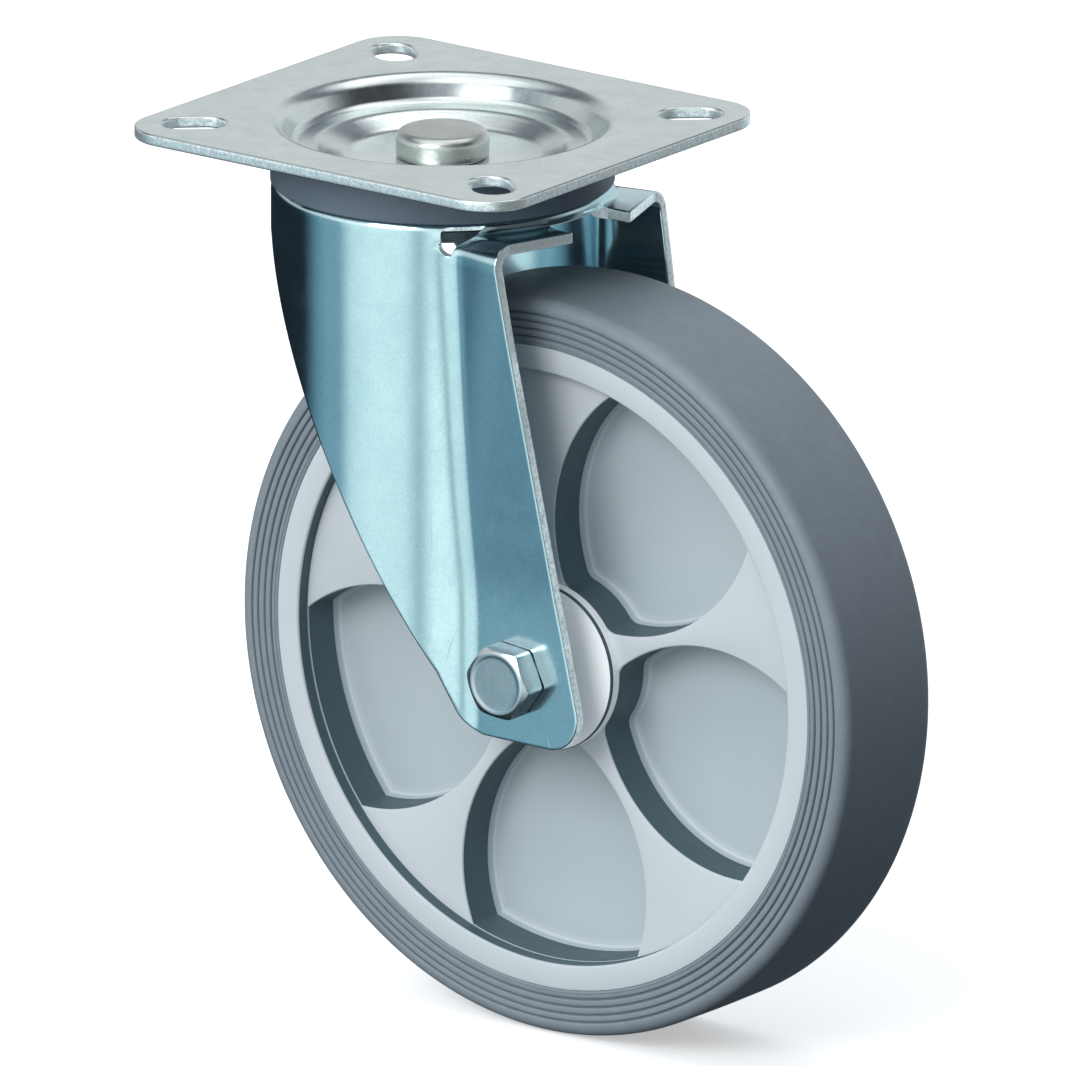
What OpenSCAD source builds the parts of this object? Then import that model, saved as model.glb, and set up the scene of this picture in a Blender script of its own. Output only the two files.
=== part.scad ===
// Swivel castor with a pressed plate, a one-piece drawn fork and a 200 mm wheel.
// Origin: centre of the flat top face of the plate, on the swivel axis.
// +Z points up out of the plate, the wheel trails towards +X, the axle lies along Y.

/* [Plate] */
// Length of the top plate along X
plate_l = 126; // [120:1:140]
// Width of the top plate along Y
plate_w = 118; // [112:1:130]
// Thickness of the plate sheet
plate_t = 3; // [2.5:0.25:3.5]
// Spacing of the slot centres along X
slot_dx = 98; // [94:1:104]
// Spacing of the slot centres along Y
slot_dy = 86; // [80:1:90]
// Width of each slot
slot_w = 11; // [9:0.5:12]
// Overall length of each slot
slot_l = 17; // [13:0.5:18]
// Corner radius of the plate
plate_r = 13; // [8:1:16]
// Depth of the pressed dish
dish_z = 10; // [9:0.5:11]

/* [Fork] */
// Outer radius of the fork crown
fork_r = 45; // [44:0.5:46]
// Sheet thickness of the fork
fork_t = 3; // [2.5:0.25:3.5]
// Half the distance over the outside of the legs at the axle
leg_y = 31.5; // [31:0.5:32.5]
// Half the distance over the outside of the legs at the top
leg_top = 37.5; // [37:0.5:38]
// Height of the crown top below the plate top
crown_z = 15.5; // [15:0.5:16.5]
// Trail of the wheel axle behind the swivel axis
trail = 47; // [44:1:50]
// Depth of the wheel axle below the plate top
axle_h = 137; // [136:1:140]

/* [Wheel] */
// Radius over the tread
wheel_r = 100; // [98:1:101]
// Width of the tyre
tyre_w = 38; // [36:1:42]
// Outer radius of the plastic rim
rim_r = 87.2; // [86:0.2:88]
// Inner radius of the rim lip
lip_r = 80.5; // [79:0.5:82]
// Half thickness over the spokes
spoke_y = 15; // [13:0.5:16]
// Half thickness of the web at the bottom of the pockets
web_y = 2; // [1.5:0.25:3]
// Radius of the hub face
hub_r = 22.5; // [22:0.5:24]
// Angle of the first pocket
pocket_a = 55; // [0:1:71]

/* [Axle] */
// Diameter of the axle bolt
bolt_d = 12; // [12:1:12]
// Width across the flats of the bolt head and nut
hex_af = 18; // [17:1:19]
// Height of the bolt head
head_h = 7.5; // [6:0.5:8]

/* [Swivel bearing] */
// Radius of each swivel ball
sball_r = 3; // [2.5:0.25:3]
// Pitch radius of the upper ball row
upper_pr = 34; // [33:0.5:35]
// Number of balls in the upper row
upper_n = 26; // [20:1:28]
// Pitch radius of the lower ball row
lower_pr = 25; // [24.5:0.5:25.5]
// Number of balls in the lower row
lower_n = 18; // [14:1:20]

/* [Hidden] */
$fn = 96;
gap = 0.2;                        // running gap round a swivel ball
leg_in = leg_y - fork_t;          // inside face of a leg
tyre_y = tyre_w/2;
cap_y = 18.6;                     // face of the hub caps
head_r = 12.3;                    // kingpin head
pin_r = 8;                        // kingpin shank
upper_z = -(crown_z + 1 - gap - sball_r);   // centre of the upper balls
lower_z = -(crown_z + fork_t + sball_r - 1 + gap);   // centre of the lower balls
shelf_z = crown_z + 3.8;          // top of the shelf behind the crown
neck_z = crown_z + 4.1;           // free edge of the neck in the middle notch
bend = 6;                         // outer radius of the bend from shelf to leg
slot_top = crown_z + 3.5;         // top of the room inside the round wall
splay = 11.2;                     // angle in plan between wheel and upper leg
leg_n = 25;                       // distance of the splayed part from the swivel axis, low down
top_n = leg_top*cos(splay) - 45.6*sin(splay);   // and at the bend
// wheel bearing
b_in = 7.5; b_in2 = 9.9; b_out2 = 15; b_out = 17.5; b_w = 11; b_y = 4; wb_r = 3; wb_pr = 12.5; wb_n = 8;

module ring(r1, r2, z1, z2) translate([0, 0, z1]) difference() {
  cylinder(r = r2, h = z2 - z1);
  translate([0, 0, -1]) cylinder(r = r1, h = z2 - z1 + 2);
}
module at_axle() translate([trail, 0, -axle_h]) rotate([90, 0, 0]) children();  // local z = -Y
module rev(p) rotate_extrude() polygon(p);
module torus(pr, z, r) rotate_extrude() translate([pr, z]) circle(r = r);
module balls(n, pr, z, r) for (i = [0:n-1]) rotate([0, 0, (i + 0.5)*360/n]) translate([pr, 0, z]) sphere(r = r, $fn = 32);
// points of an arc, centre c, radius r, from a0 to a1
function arc(c, r, a0, a1, n = 8) = [for (i = [0:n]) let (a = a0 + (a1 - a0)*i/n) c + r*[cos(a), sin(a)]];

// ---- plate side -------------------------------------------------------
// top surface of the pressed dish, from the rim inwards
function dish(o) = concat(
  arc([46, -5], 5 - o, 90, 150, 8),
  arc([37.6, -3.9], 3 + o, -30, -85, 8),
  arc([34.5, -11.9], 5 - o, 88, 125, 6),
  arc([24.5, -dish_z + 5], 5 + o, -55, -90, 6));
module top_plate() color([0.78, 0.80, 0.80]) difference() {
  union() {
    translate([0, 0, -plate_t]) linear_extrude(plate_t) difference() {
      hull() for (i = [-1, 1], j = [-1, 1])
        translate([i*(plate_l/2 - plate_r), j*(plate_w/2 - plate_r)]) circle(r = plate_r, $fn = 64);
      circle(r = 45.9);
    }
    rev(concat([[47, -plate_t], [47, 0]], dish(0), [[pin_r, -dish_z], [pin_r, -dish_z - plate_t]],
      [for (i = [len(dish(plate_t)) - 1:-1:0]) dish(plate_t)[i]]));
  }
  for (i = [-1, 1], j = [-1, 1]) translate([i*slot_dx/2, j*slot_dy/2, 0])
    rotate([0, 0, atan2(j*slot_dy, i*slot_dx)]) {
      for (k = [-1, 1]) translate([k*(slot_l - slot_w)/2, 0, -plate_t - 1]) cylinder(d = slot_w, h = plate_t + 2);
      translate([-(slot_l - slot_w)/2, -slot_w/2, -plate_t - 1]) cube([slot_l - slot_w, slot_w, plate_t + 2]);
    }
  torus(upper_pr, upper_z, sball_r + gap);
}
module kingpin() color([0.72, 0.74, 0.72]) rev(concat([[0, -2.8]],
  arc([head_r - 1.6, -4.4], 1.6, 90, 0, 6), [[head_r, -dish_z], [pin_r, -dish_z], [pin_r, -16.2 - 0],
  [11.5, -16.2], [10.5, -19.5], [8, -20.8], [0, -21.2]]));
// cup under the head: flat centre against the plate, flange under the balls
cup_t = 2.8;
cup_z = lower_z - sball_r - gap;     // bottom of the ball track
module lower_race_cup() color([0.66, 0.68, 0.67]) difference() {
  rev([[pin_r, -13], [15.5, -13], [17.5, -15], [18.6, cup_z + 2], [20.5, cup_z + 1], [29, cup_z + 1],
       [29, cup_z + 1 - cup_t], [18.5, cup_z + 1 - cup_t], [16.2, cup_z + 0.2], [14.4, -16.2], [pin_r, -16.2]]);
  torus(lower_pr, lower_z, sball_r + gap);
}
module upper_balls() color([0.55, 0.56, 0.57]) balls(upper_n, upper_pr, upper_z, sball_r);
module upper_cage() color([0.60, 0.62, 0.60]) difference() {
  ring(upper_pr - 4.2, upper_pr + 4.2, upper_z - 0.6, upper_z + 0.6);
  balls(upper_n, upper_pr, upper_z, sball_r + 0.15);
}
module lower_balls() color([0.55, 0.56, 0.57]) balls(lower_n, lower_pr, lower_z, sball_r);
module lower_cage() color([0.60, 0.62, 0.60]) difference() {
  ring(lower_pr - 4.1, lower_pr + 4.1, lower_z - 0.6, lower_z + 0.6);
  balls(lower_n, lower_pr, lower_z, sball_r + 0.15);
}

// ---- fork side --------------------------------------------------------
module dust_seal() color([0.42, 0.47, 0.52]) rev([[44.6, -4.5], [45, -4.5], [45.2, -4.7], [45.2, -crown_z - 0.7],
  [44.3, -crown_z - 0.7], [43.2, -crown_z], [41.9, -crown_z], [41.9, -11.5], [43.4, -10.5], [43.4, -7.5], [44.3, -5.2]]);
// side outline of the fork, seen along Y
side = concat([[-46, -12], [-46, -30], [-35.5, -30]], arc([-35.5, -33], 3, 90, 28.6, 4),
  [[26, -138]], arc([38.6, -145.2], 9.2, 200, 266, 6), arc([58.9, -145.2], 9.3, 272, 374, 8),
  [[61, -113.5], [48, -38.6], [45.6, -25.2], [54, -25.2], [54, -12]]);
// half of the leg section, seen along X: upright at the axle, flared above
function leg(o) = [[leg_y - o, -170], [leg_y - o, -116], [leg_top + 0.5 - o, -18]];
// section across the splayed upper part: upright, leaning, then bent over into the shelf
function splayed(o) = concat([[-90, -170], [leg_n - o, -170], [leg_n - o, -116]],
  arc([top_n - bend, -shelf_z - bend], bend - o, 0, 90, 6), [[-90, -shelf_z - o]]);
module splay_half(o) rotate([0, 0, -90 - splay]) rotate([90, 0, 0]) linear_extrude(240, center = true) polygon(splayed(o));
module legs(o, x0, l) intersection() {
  translate([x0, 0, 0]) rotate([90, 0, 90]) linear_extrude(l)
    polygon(concat(leg(o), [for (i = [2:-1:0]) [-leg(o)[i][0], leg(o)[i][1]]]));
  splay_half(o);
  mirror([0, 1, 0]) splay_half(o);
}
// round wall in front and flat legs behind
module walls() intersection() {
  difference() {
    union() {
      translate([0, 0, -160]) cylinder(r = fork_r, h = 160 - 25.5);
      legs(0, 0, 80);
    }
    translate([0, 0, -161]) cylinder(r = fork_r - fork_t, h = 161 - slot_top);
    legs(fork_t, -1, 82);
  }
  rotate([90, 0, 0]) linear_extrude(100, center = true) polygon(side);
}
// rear edge of the shelf, seen from above, and the notch in its middle
module shelf_cut() translate([0, 0, -25.2]) linear_extrude(9) {
  for (s = [-1, 1]) polygon([[45.6, s*39], [45.6, s*36], [46, s*31], [52.5, s*12], [60, s*12], [60, s*39]]);
  translate([45, -12]) square([20, 24]);
}
// opens the space under the shelf, frees the neck in the middle notch,
// and cuts the notch at each corner where wall, shelf and leg meet
corner = [[26.9, -18.6], [27.6, -17.5], [28.8, -17], [35.2, -17], [32.9, -19.4], [30.3, -21.9], [29.6, -24.2], [29, -24.6],
  [28.2, -24.4], [27.2, -23.4], [26.9, -22.4]];
module relief() {
  legs(fork_t, 29.3, 60);
  translate([38, -12, -28]) cube([20, 24, 28 - neck_z]);
  difference() {
    for (s = [0, 1]) mirror([0, s, 0]) translate([0, 40, 0]) rotate([90, 0, 0]) linear_extrude(13.5) polygon(corner);
    translate([0, 0, -30]) cylinder(r = 41.5, h = 20);
  }
}
module fork() color([0.62, 0.76, 0.80]) difference() {
  union() {
    walls();
    // crown, shoulder and neck
    rev(concat([[20, -crown_z]], arc([fork_r - 3, -crown_z - 3], 3, 90, 0, 6), [[fork_r, -25.6], [fork_r - fork_t, -25.6]],
      arc([fork_r - fork_t - 1.5, -crown_z - fork_t - 1.5], 1.5, 0, 90, 4), [[20, -crown_z - fork_t]]));
  }
  shelf_cut();
  relief();
  torus(upper_pr, upper_z, sball_r + gap);
  torus(lower_pr, lower_z, sball_r + gap);
  translate([trail, 0, -axle_h]) rotate([90, 0, 0]) cylinder(r = bolt_d/2 + 0.1, h = 100, center = true);
}
module axle_bolt() color([0.75, 0.78, 0.78]) at_axle() {
  translate([0, 0, -43.5]) cylinder(d = bolt_d, h = 43.5 + leg_y);
  translate([0, 0, -44.7]) cylinder(d1 = bolt_d - 2.4, d2 = bolt_d, h = 1.2);
  intersection() {
    translate([0, 0, leg_y]) rotate([0, 0, -6]) cylinder(d = hex_af/cos(30), h = head_h, $fn = 6);
    translate([0, 0, leg_y]) rev([[0, 0], [hex_af/2 + 0.6, 0], [hex_af/2 + 1.6, 0.6], [hex_af/2 + 1.6, head_h - 1.1], [hex_af/2 - 0.6, head_h], [0, head_h]]);
  }
}
module axle_nut() color([0.72, 0.75, 0.75]) at_axle() difference() {
  union() {
    intersection() {
      translate([0, 0, -leg_y - 9.5]) rotate([0, 0, 14]) cylinder(d = hex_af/cos(30), h = 9.5, $fn = 6);
      translate([0, 0, -leg_y]) rev([[0, 0], [hex_af/2 + 0.6, 0], [hex_af/2 + 1.6, -0.6], [hex_af/2 + 1.6, -8.2], [hex_af/2 - 0.4, -9.5], [0, -9.5]]);
    }
    translate([0, 0, -leg_y - 12]) cylinder(r = 8, h = 3);
  }
  translate([0, 0, -50]) cylinder(d = bolt_d, h = 50);
  translate([0, 0, -leg_y - 11.4]) cylinder(r = 7, h = 2.8);
}
module nut_insert() color([0.85, 0.86, 0.84]) at_axle() ring(bolt_d/2, 7, -leg_y - 11.4, -leg_y - 8.6);
module axle_sleeve() color([0.70, 0.72, 0.73]) at_axle() ring(bolt_d/2 + 0.1, b_in, -leg_in, leg_in);
module inner_spacer() color([0.70, 0.72, 0.73]) at_axle() ring(b_in, 9.5, -b_y, b_y);
module end_bushes() color([0.70, 0.72, 0.73]) at_axle() for (s = [0, 1]) mirror([0, 0, s]) ring(b_in, 10, b_y + b_w, leg_in);
// wheel bearings, local z away from the wheel middle
module bearing_side(s) at_axle() mirror([0, 0, s]) translate([0, 0, b_y]) children();
module race_in() difference() { ring(b_in, b_in2 + 0.7, 0, b_w); torus(wb_pr, b_w/2, wb_r + 0.1); }
module race_out() difference() { ring(b_out2 - 0.7, b_out, 0, b_w); torus(wb_pr, b_w/2, wb_r + 0.1); 
  for (z = [-1, b_w - 1.4]) translate([0, 0, z]) cylinder(r = 15.2, h = 2.4); }
module near_inner_ring() color([0.70, 0.71, 0.72]) bearing_side(0) race_in();
module far_inner_ring() color([0.70, 0.71, 0.72]) bearing_side(1) race_in();
module near_outer_ring() color([0.70, 0.71, 0.72]) bearing_side(0) race_out();
module far_outer_ring() color([0.70, 0.71, 0.72]) bearing_side(1) race_out();
module near_balls() color([0.60, 0.61, 0.62]) bearing_side(0) balls(wb_n, wb_pr, b_w/2, wb_r);
module far_balls() color([0.60, 0.61, 0.62]) bearing_side(1) balls(wb_n, wb_pr, b_w/2, wb_r);
module cage() difference() { ring(wb_pr - 0.9, wb_pr + 0.9, b_w/2 - 3.9, b_w/2 + 1); balls(wb_n, wb_pr, b_w/2, wb_r + 0.15); }
module near_cage() color([0.55, 0.45, 0.25]) bearing_side(0) cage();
module far_cage() color([0.55, 0.45, 0.25]) bearing_side(1) cage();
module shields() for (z = [0.4, b_w - 1.4]) ring(b_in2 + 1.1, 15.2, z, z + 1);
module near_shields() color([0.15, 0.15, 0.16]) bearing_side(0) shields();
module far_shields() color([0.15, 0.15, 0.16]) bearing_side(1) shields();

// ---- wheel ------------------------------------------------------------
// one pocket outline: two large arcs, closed by the rim and the hub
module petal() intersection() {
  translate([59.2, 15.5]) circle(r = 45.6);
  translate([59.2, -15.5]) circle(r = 45.6);
  difference() { circle(r = lip_r - 0.15); circle(r = hub_r - 1.2); }
}
module wheel_centre() color([0.78, 0.82, 0.84]) at_axle() difference() {
  rev([[14, -spoke_y], [lip_r - 0.6, -spoke_y], [lip_r, -spoke_y - 0.6], [lip_r, -tyre_y + 0.6],
       [lip_r + 0.6, -tyre_y], [rim_r, -tyre_y], [rim_r, -tyre_y + 3], [rim_r - 2.6, -tyre_y + 5], [rim_r - 2.6, -5], [rim_r - 0.4, -3.4], [rim_r - 0.4, 3.4], [rim_r - 2.6, 5],
       [rim_r - 2.6, tyre_y - 5], [rim_r, tyre_y - 3], [rim_r, tyre_y], [lip_r + 0.6, tyre_y], [lip_r, tyre_y - 0.6], [lip_r, spoke_y + 0.6],
       [lip_r - 0.6, spoke_y], [14, spoke_y]]);
  for (i = [0:4], s = [0, 1]) mirror([0, 0, s]) translate([0, 0, web_y]) rotate([0, 0, pocket_a + 72*i]) linear_extrude(30) petal();
  for (s = [0, 1]) mirror([0, 0, s]) translate([0, 0, b_y]) cylinder(r = b_out, h = 20);
}
module hub_caps() color([0.82, 0.85, 0.87]) at_axle() for (s = [0, 1]) mirror([0, 0, s])
  rev([[10.6, spoke_y], [hub_r, spoke_y], [hub_r, cap_y - 0.5], [hub_r - 0.5, cap_y], [11.2, cap_y], [10.6, cap_y - 0.6]]);
groove_r = [89.5, 91.6, 93.7, 95.7];
module tyre() color([0.50, 0.55, 0.60]) at_axle() difference() {
  rev(concat([[rim_r, -tyre_y]], arc([96.2, -tyre_y + 3.4], 3.4, 270, 353, 6), [[99.75, -9], [100, 0], [99.75, 9]],
    arc([96.2, tyre_y - 3.4], 3.4, 7, 90, 6), [[rim_r, tyre_y], [rim_r, tyre_y - 3], [rim_r - 2.6, tyre_y - 5], [rim_r - 2.6, 5],
    [rim_r - 0.4, 3.4], [rim_r - 0.4, -3.4], [rim_r - 2.6, -5], [rim_r - 2.6, -tyre_y + 5], [rim_r, -tyre_y + 3]]));
  for (g = groove_r, s = [0, 1]) mirror([0, 0, s]) ring(g - 0.28, g + 0.28, tyre_y - 0.9, tyre_y + 1);
}

top_plate();
kingpin();
lower_race_cup();
upper_balls();
upper_cage();
lower_balls();
lower_cage();
dust_seal();
fork();
axle_bolt();
axle_nut();
nut_insert();
axle_sleeve();
inner_spacer();
end_bushes();
near_inner_ring();
far_inner_ring();
near_balls();
near_cage();
far_balls();
far_cage();
wheel_centre();
tyre();
hub_caps();
near_outer_ring();
far_outer_ring();
near_shields();
far_shields();
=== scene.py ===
import math
import bpy
import numpy as np
from mathutils import Vector, Matrix
from mathutils.geometry import delaunay_2d_cdt

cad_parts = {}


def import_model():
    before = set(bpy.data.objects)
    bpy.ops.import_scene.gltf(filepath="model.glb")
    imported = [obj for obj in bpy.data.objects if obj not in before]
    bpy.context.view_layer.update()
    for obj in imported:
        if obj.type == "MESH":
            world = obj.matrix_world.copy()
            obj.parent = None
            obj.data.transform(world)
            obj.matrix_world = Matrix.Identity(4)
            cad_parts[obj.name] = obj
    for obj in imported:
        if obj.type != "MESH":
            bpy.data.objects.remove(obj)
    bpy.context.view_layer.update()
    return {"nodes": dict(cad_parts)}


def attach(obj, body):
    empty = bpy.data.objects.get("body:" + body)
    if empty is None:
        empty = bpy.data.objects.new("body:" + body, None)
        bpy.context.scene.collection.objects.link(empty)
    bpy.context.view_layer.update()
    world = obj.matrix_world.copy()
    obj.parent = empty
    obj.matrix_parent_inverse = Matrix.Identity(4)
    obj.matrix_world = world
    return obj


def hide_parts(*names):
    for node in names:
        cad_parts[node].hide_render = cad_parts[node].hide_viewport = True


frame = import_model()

AX, AZ = 47.0, -137.0          # wheel axle, mm
PI = math.pi

# ------------------------------------------------------------------ mesh helpers
class Build:
    """Vertices in mm, faces and a material index for each face."""
    def __init__(self):
        self.v, self.f, self.m = [], [], []

    def add(self, pts):
        start = len(self.v)
        self.v.extend([tuple(float(c) for c in p) for p in pts])
        return list(range(start, start + len(pts)))

    def quads(self, a, b, closed=True, mat=0, keep=None):
        n = len(a)
        for i in range(n if closed else n - 1):
            if keep is not None and not keep[i]:
                continue
            j = (i + 1) % n
            self.f.append((a[i], a[j], b[j], b[i]))
            self.m.append(mat)

    def face(self, idx, mat=0):
        self.f.append(tuple(idx))
        self.m.append(mat)

    def mirror_y(self):
        n = len(self.v)
        self.v += [(x, -y, z) for x, y, z in self.v]
        self.f += [tuple(n + i for i in reversed(f)) for f in self.f]
        self.m += list(self.m)

    def object(self, name, body, mats, replaces=(), sharp=35.0, merge=2e-6):
        me = bpy.data.meshes.new(name)
        me.from_pydata([(x / 1000, y / 1000, z / 1000) for x, y, z in self.v], [], self.f)
        for k in mats:
            me.materials.append(k)
        me.polygons.foreach_set("material_index", self.m)
        import bmesh
        bm = bmesh.new(); bm.from_mesh(me)
        bmesh.ops.remove_doubles(bm, verts=bm.verts, dist=merge)
        bmesh.ops.dissolve_degenerate(bm, edges=bm.edges, dist=1e-7)
        bmesh.ops.recalc_face_normals(bm, faces=bm.faces)
        bm.to_mesh(me); bm.free()
        me.polygons.foreach_set("use_smooth", [True] * len(me.polygons))
        me.set_sharp_from_angle(angle=math.radians(sharp))
        o = bpy.data.objects.new(name, me)
        bpy.context.scene.collection.objects.link(o)
        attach(o, body)
        if replaces:
            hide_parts(*replaces)
        return o


def arc(cx, cy, r, a0, a1, n):
    return [(cx + r * math.cos(math.radians(a0 + (a1 - a0) * i / n)), cy + r * math.sin(math.radians(a0 + (a1 - a0) * i / n))) for i in range(n + 1)]


def ring_z(r, z, n):
    t = np.arange(n) * 2 * PI / n
    return np.stack([r * np.cos(t), r * np.sin(t), np.full(n, z)], 1)


def ring_y(r, w, n):
    """Ring round the wheel axle at y = w."""
    t = np.arange(n) * 2 * PI / n
    return np.stack([AX + r * np.cos(t), np.full(n, w), AZ + r * np.sin(t)], 1)


def lathe(b, profile, n, ring, closed=True, mats=None):
    rows = [b.add(ring(max(r, 0.0), h, n)) if r > 1e-6 else b.add([ring(0.0, h, 1)[0]]) for r, h in profile]
    m = len(rows)
    for i in range(m if closed else m - 1):
        a, c = rows[i], rows[(i + 1) % m]
        k = mats[i] if mats else 0
        if len(a) == 1 and len(c) == 1:
            continue
        if len(a) == 1 or len(c) == 1:
            o, tip = (c, a[0]) if len(a) == 1 else (a, c[0])
            for j in range(n):
                b.face((tip, o[j], o[(j + 1) % n]), k)
        else:
            b.quads(a, c, True, k)
    return rows


def resample(pts, step):
    """Points along a polyline at about one step, both ends kept."""
    p = np.asarray(pts, float)
    d = np.r_[0, np.cumsum(np.linalg.norm(np.diff(p, axis=0), axis=1))]
    n = max(1, int(math.ceil(d[-1] / step)))
    s = np.linspace(0, d[-1], n + 1)
    return np.stack([np.interp(s, d, p[:, 0]), np.interp(s, d, p[:, 1])], 1)


def inside(points, loop):
    x, y = points[:, 0], points[:, 1]
    c = np.zeros(len(points), bool)
    n = len(loop)
    for i in range(n):
        x1, y1 = loop[i]; x2, y2 = loop[(i + 1) % n]
        if y1 == y2:
            continue
        hit = ((y1 > y) != (y2 > y)) & (x < (x2 - x1) * (y - y1) / (y2 - y1) + x1)
        c ^= hit
    return c


def normals_2d(p):
    """Left-hand normals of a closed loop, mitred."""
    d = np.roll(p, -1, 0) - p
    d /= np.maximum(np.linalg.norm(d, axis=1), 1e-9)[:, None]
    n = np.stack([-d[:, 1], d[:, 0]], 1)
    m = n + np.roll(n, 1, 0)
    l = np.maximum(np.linalg.norm(m, axis=1), 1e-6)[:, None]
    m /= l
    c = np.maximum((m * n).sum(1), 0.55)[:, None]
    return m / c


def sheet(b, loops, F, t, rho, spacing, side_mat=1, side_rows=3, rough=0.0, fixed=None):
    """A bent sheet. loops are (points, taper, free): the outline counter-clockwise, holes clockwise.
    F(q, s, depth) gives the place in mm of a point below the outer face. Free edges get rounded rims."""
    base, segs, all_loops = [], [], []
    for pts, tau, free in loops:
        p = np.asarray(pts, float)
        nrm = normals_2d(p)
        if fixed and not all_loops:
            for k, v in fixed.items():
                nrm[k] = v
        tau = np.asarray(tau, float)
        all_loops.append((p, nrm, tau, np.asarray(free, bool)))
    start = 0
    outline0 = []
    for p, nrm, tau, free in all_loops:
        r0 = p + nrm * (rho * tau)[:, None]
        outline0.append(r0)
        base.append(r0)
        segs += [(start + i, start + (i + 1) % len(p)) for i in range(len(p))]
        start += len(p)
    boundary = np.concatenate(base)
    support = []
    for (p, nrm, tau, free), r0 in zip(all_loops, outline0):
        s = p + nrm * ((rho + 0.45) * tau)[:, None]
        support.append(s[tau > 0.9])
    lo, hi = boundary.min(0), boundary.max(0)
    gx, gy = np.arange(lo[0], hi[0], spacing), np.arange(lo[1], hi[1], spacing * 0.866)
    X, Y = np.meshgrid(gx, gy)
    X[1::2] += spacing / 2
    g = np.stack([X.ravel(), Y.ravel()], 1)
    ok = inside(g, outline0[0])
    for h in outline0[1:]:
        ok &= ~inside(g, h)
    g = g[ok]
    sup = np.concatenate(support) if support else np.zeros((0, 2))
    near = np.concatenate([boundary, sup]) if len(sup) else boundary
    keep = np.ones(len(g), bool)
    for i in range(0, len(g), 4000):
        d = np.sqrt(((g[i:i + 4000, None, :] - near[None]) ** 2).sum(2)).min(1)
        keep[i:i + 4000] = d > spacing * 0.6
    g = g[keep]
    if len(sup):
        ok = inside(sup, outline0[0])
        for h in outline0[1:]:
            ok &= ~inside(sup, h)
        sup = sup[ok]
    every = np.concatenate([boundary, sup, g])
    vo, _, fo, orig, _, _ = delaunay_2d_cdt([Vector(q) for q in every], segs, [], 1, 1e-5)
    P2 = np.array([(q.x, q.y) for q in vo])
    tri = np.array([list(f) for f in fo if len(f) == 3])
    cen = P2[tri].mean(1)
    ok = inside(cen, outline0[0])
    for h in outline0[1:]:
        ok &= ~inside(cen, h)
    tri = tri[ok]
    where = {}
    for k, o in enumerate(orig):
        for j in o:
            where[j] = k
    top = b.add(F(P2[:, 0], P2[:, 1], np.zeros(len(P2))))
    bot = b.add(F(P2[:, 0], P2[:, 1], np.full(len(P2), t)))
    for f in tri:
        b.face([top[i] for i in f], 0)
        b.face([bot[i] for i in reversed(f)], 0)
    start = 0
    for p, nrm, tau, free in all_loops:
        n = len(p)
        row0 = [top[where[start + i]] for i in range(n)]
        row9 = [bot[where[start + i]] for i in range(n)]
        prev = row0
        for k in (1, 2, 3):
            a = math.radians(30 * k)
            q = p + nrm * (rho * tau * (1 - math.sin(a)))[:, None]
            cur = b.add(F(q[:, 0], q[:, 1], rho * tau * (1 - math.cos(a))))
            b.quads(prev, cur, True, 0 if k < 3 else side_mat, free)
            prev = cur
        for k in range(1, side_rows + 1):
            depth = rho * tau + (t - 2 * rho * tau) * k / side_rows
            q = p + nrm * (rough * (0.5 + 0.5 * np.sin(np.arange(n) * 2.399 + k * 1.7)) * tau)[:, None] if k < side_rows else p
            cur = b.add(F(q[:, 0], q[:, 1], depth))
            b.quads(prev, cur, True, side_mat, free)
            prev = cur
        for k in (2, 1):
            a = math.radians(30 * k)
            q = p + nrm * (rho * tau * (1 - math.sin(a)))[:, None]
            cur = b.add(F(q[:, 0], q[:, 1], t - rho * tau * (1 - math.cos(a))))
            b.quads(prev, cur, True, 0 if k == 1 else side_mat, free)
            prev = cur
        b.quads(prev, row9, True, 0, free)
        start += n
    return b


# ------------------------------------------------------------------ materials
def new_mat(name):
    m = bpy.data.materials.new(name)
    m.use_nodes = True
    nt = m.node_tree
    bs = nt.nodes["Principled BSDF"]
    tc = nt.nodes.new("ShaderNodeTexCoord")
    return m, nt, bs, tc.outputs["Object"]


def node(nt, kind, **kw):
    n = nt.nodes.new(kind)
    for k, v in kw.items():
        setattr(n, k, v)
    return n


def stretch(nt, vec, scale, loc=(0, 0, 0), rot=(0, 0, 0)):
    n = node(nt, "ShaderNodeMapping")
    n.inputs["Scale"].default_value = scale
    n.inputs["Location"].default_value = loc
    n.inputs["Rotation"].default_value = rot
    nt.links.new(vec, n.inputs["Vector"])
    return n.outputs["Vector"]


def noise(nt, vec, scale, detail=4.0, rough=0.55, dist=0.0):
    n = node(nt, "ShaderNodeTexNoise")
    n.inputs["Scale"].default_value = scale
    n.inputs["Detail"].default_value = detail
    n.inputs["Roughness"].default_value = rough
    n.inputs["Distortion"].default_value = dist
    nt.links.new(vec, n.inputs["Vector"])
    return n.outputs["Fac"]


def ramp(nt, fac, stops):
    n = node(nt, "ShaderNodeValToRGB")
    e = n.color_ramp.elements
    while len(e) < len(stops):
        e.new(0.5)
    for i, (p, c) in enumerate(stops):
        e[i].position = p
        e[i].color = (*c, 1) if len(c) == 3 else c
    nt.links.new(fac, n.inputs["Fac"])
    return n.outputs["Color"]


def remap(nt, fac, a, b, c, d):
    n = node(nt, "ShaderNodeMapRange")
    for k, v in zip(("From Min", "From Max", "To Min", "To Max"), (a, b, c, d)):
        n.inputs[k].default_value = v
    nt.links.new(fac, n.inputs["Value"])
    return n.outputs["Result"]


def mult(nt, a, b):
    n = node(nt, "ShaderNodeMath", operation="MULTIPLY")
    nt.links.new(a, n.inputs[0]); nt.links.new(b, n.inputs[1])
    return n.outputs[0]


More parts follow.
